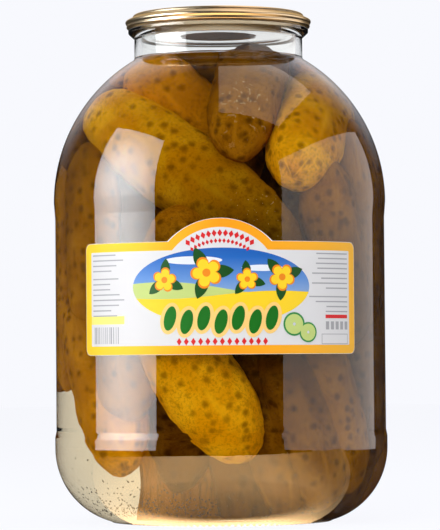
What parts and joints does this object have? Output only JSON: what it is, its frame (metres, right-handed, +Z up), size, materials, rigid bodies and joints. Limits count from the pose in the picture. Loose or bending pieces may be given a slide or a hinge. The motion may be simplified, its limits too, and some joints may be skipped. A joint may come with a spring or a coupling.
{
  "type": "glass jar of pickled cucumbers",
  "caption": "Round-shouldered preserve jar, filled with cucumbers in brine and shut with a rolled-on tinplate lid, with a paper label on its recessed panel.",
  "frame": {"origin": "on the jar's axis, in the plane that the knurled foot stands on", "axes": "+Z up along the jar's axis; the label faces -Y; +X is to the right as seen from the label's side"},
  "size_m": [0.154, 0.154, 0.2352],
  "materials": {
    "clear_glass": "clear blown glass",
    "gold_lacquered_tinplate": "gold lacquer over bright tinplate",
    "label_paper": "coated printed paper",
    "brine": "clear yellowish brine",
    "pickled_cucumber": "wet warty cucumber skin"
  },
  "bodies": {
    "root": {"jar": "clear_glass", "lid": "gold_lacquered_tinplate", "label": "label_paper", "brine": "brine", "gherkin": "pickled_cucumber"}
  },
  "joints": []
}
